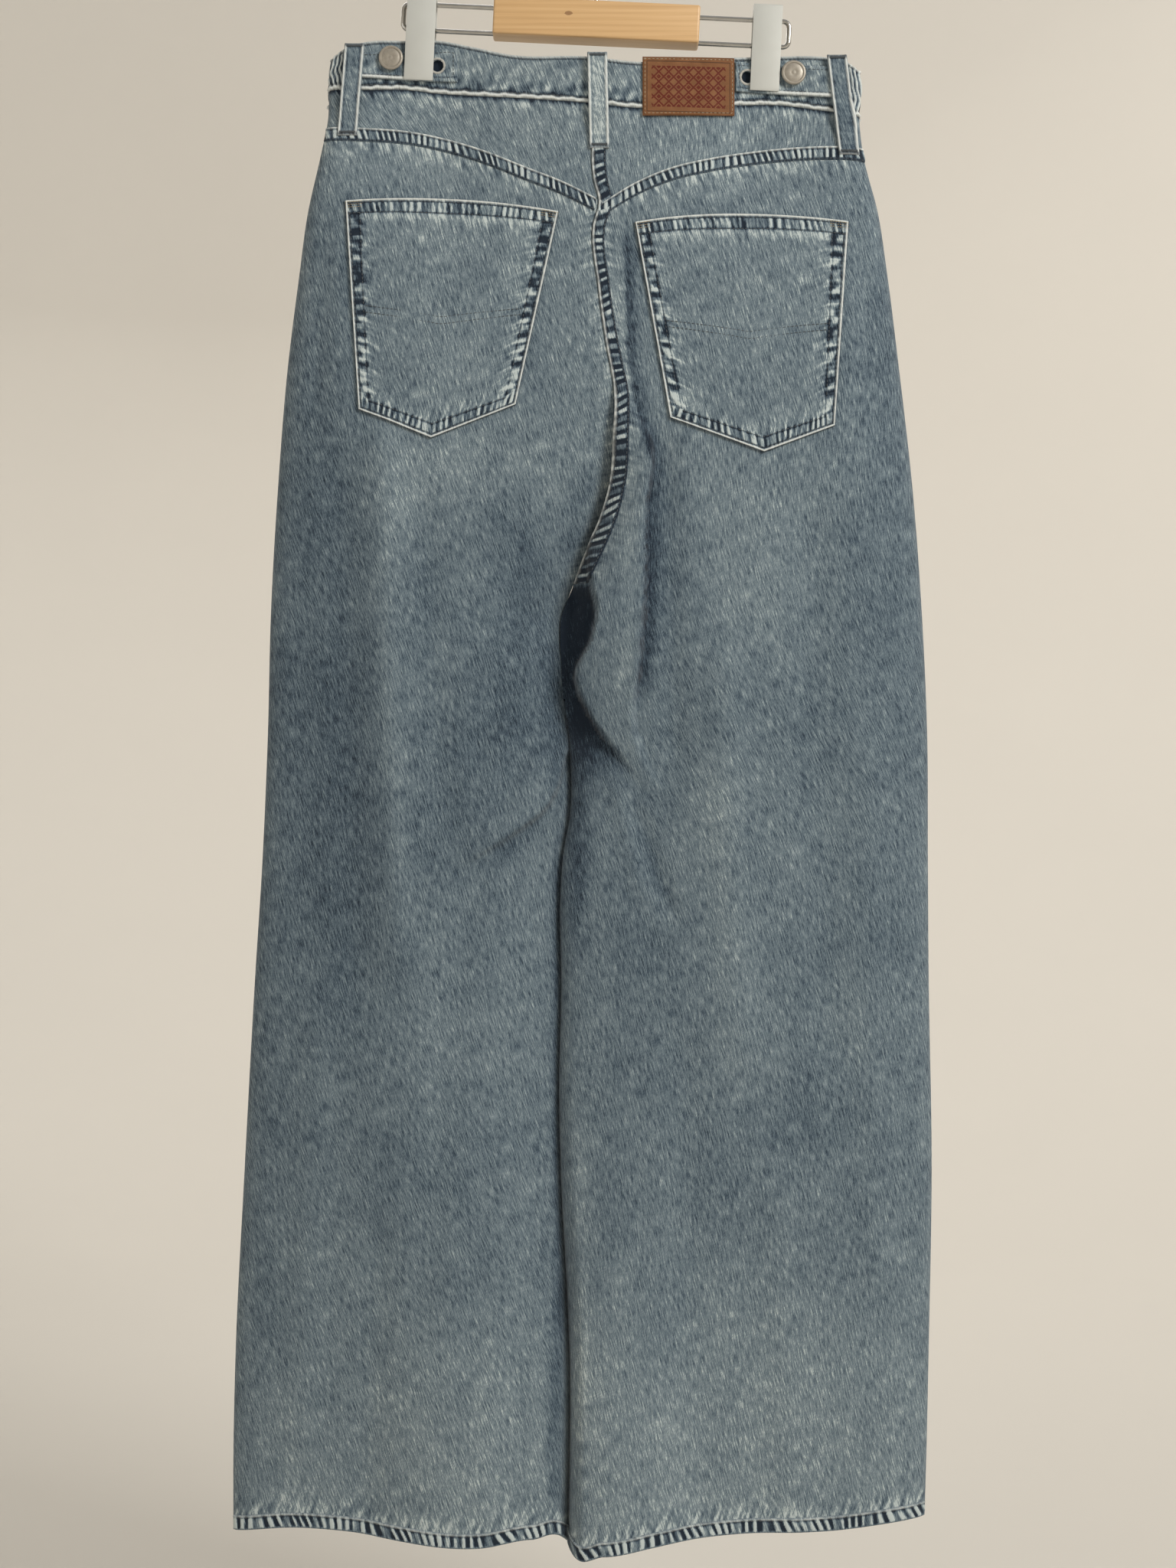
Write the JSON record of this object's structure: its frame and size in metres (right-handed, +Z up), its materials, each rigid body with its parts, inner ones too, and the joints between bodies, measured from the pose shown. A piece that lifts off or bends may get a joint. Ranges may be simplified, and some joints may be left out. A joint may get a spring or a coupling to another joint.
{
  "type": "baggy jeans on a clip hanger",
  "caption": "High-waisted wide-leg jeans in washed light denim, hung by the waistband from a wooden bar hanger with metal clips, back to the viewer.",
  "frame": {"origin": "inside of the crown of the hanger's hook, where it lies on a rail", "axes": "+Z up, +X to the right as the back of the jeans is looked at, and the back of the jeans faces -Y"},
  "size_m": [0.4926, 0.0789, 1.1677],
  "materials": {
    "denim": "light washed blue-grey twill, matt, slubby, faded along its ridges",
    "worn_denim": "the same twill on sewn-on pieces, with white worn edges and dark puckers along the stitching",
    "leather": "smooth tan, semi-matt, with a darker frame line and a printed pattern",
    "button_metal": "aged nickel-toned brass, satin",
    "wood": "pale lacquered hardwood, satin",
    "steel_wire": "bright drawn wire",
    "clip_plate": "pale grey pressed sheet, satin"
  },
  "bodies": {
    "root": {"back_left": "denim", "back_right": "denim", "front_left": "denim", "front_right": "denim", "yoke_left": "denim", "yoke_right": "denim", "waistband_back": "denim", "waistband_front": "denim", "waist_tab_left": "worn_denim", "waist_tab_right": "worn_denim", "tab_button_left": "button_metal", "tab_button_right": "button_metal", "belt_loop_back_left": "worn_denim", "belt_loop_back_centre": "worn_denim", "belt_loop_back_right": "worn_denim", "belt_loop_front_left": "worn_denim", "belt_loop_front_right": "worn_denim", "back_pocket_left": "worn_denim", "back_pocket_right": "worn_denim", "leather_patch": "leather", "fly_placket": "denim", "waist_button": "button_metal", "pocket_facing_left": "denim", "pocket_facing_right": "denim", "hanger_bar": "wood", "hanger_wire_left": "steel_wire", "hanger_wire_right": "steel_wire", "clip_left": "clip_plate", "clip_right": "clip_plate", "hanger_hook": "steel_wire"}
  },
  "joints": []
}
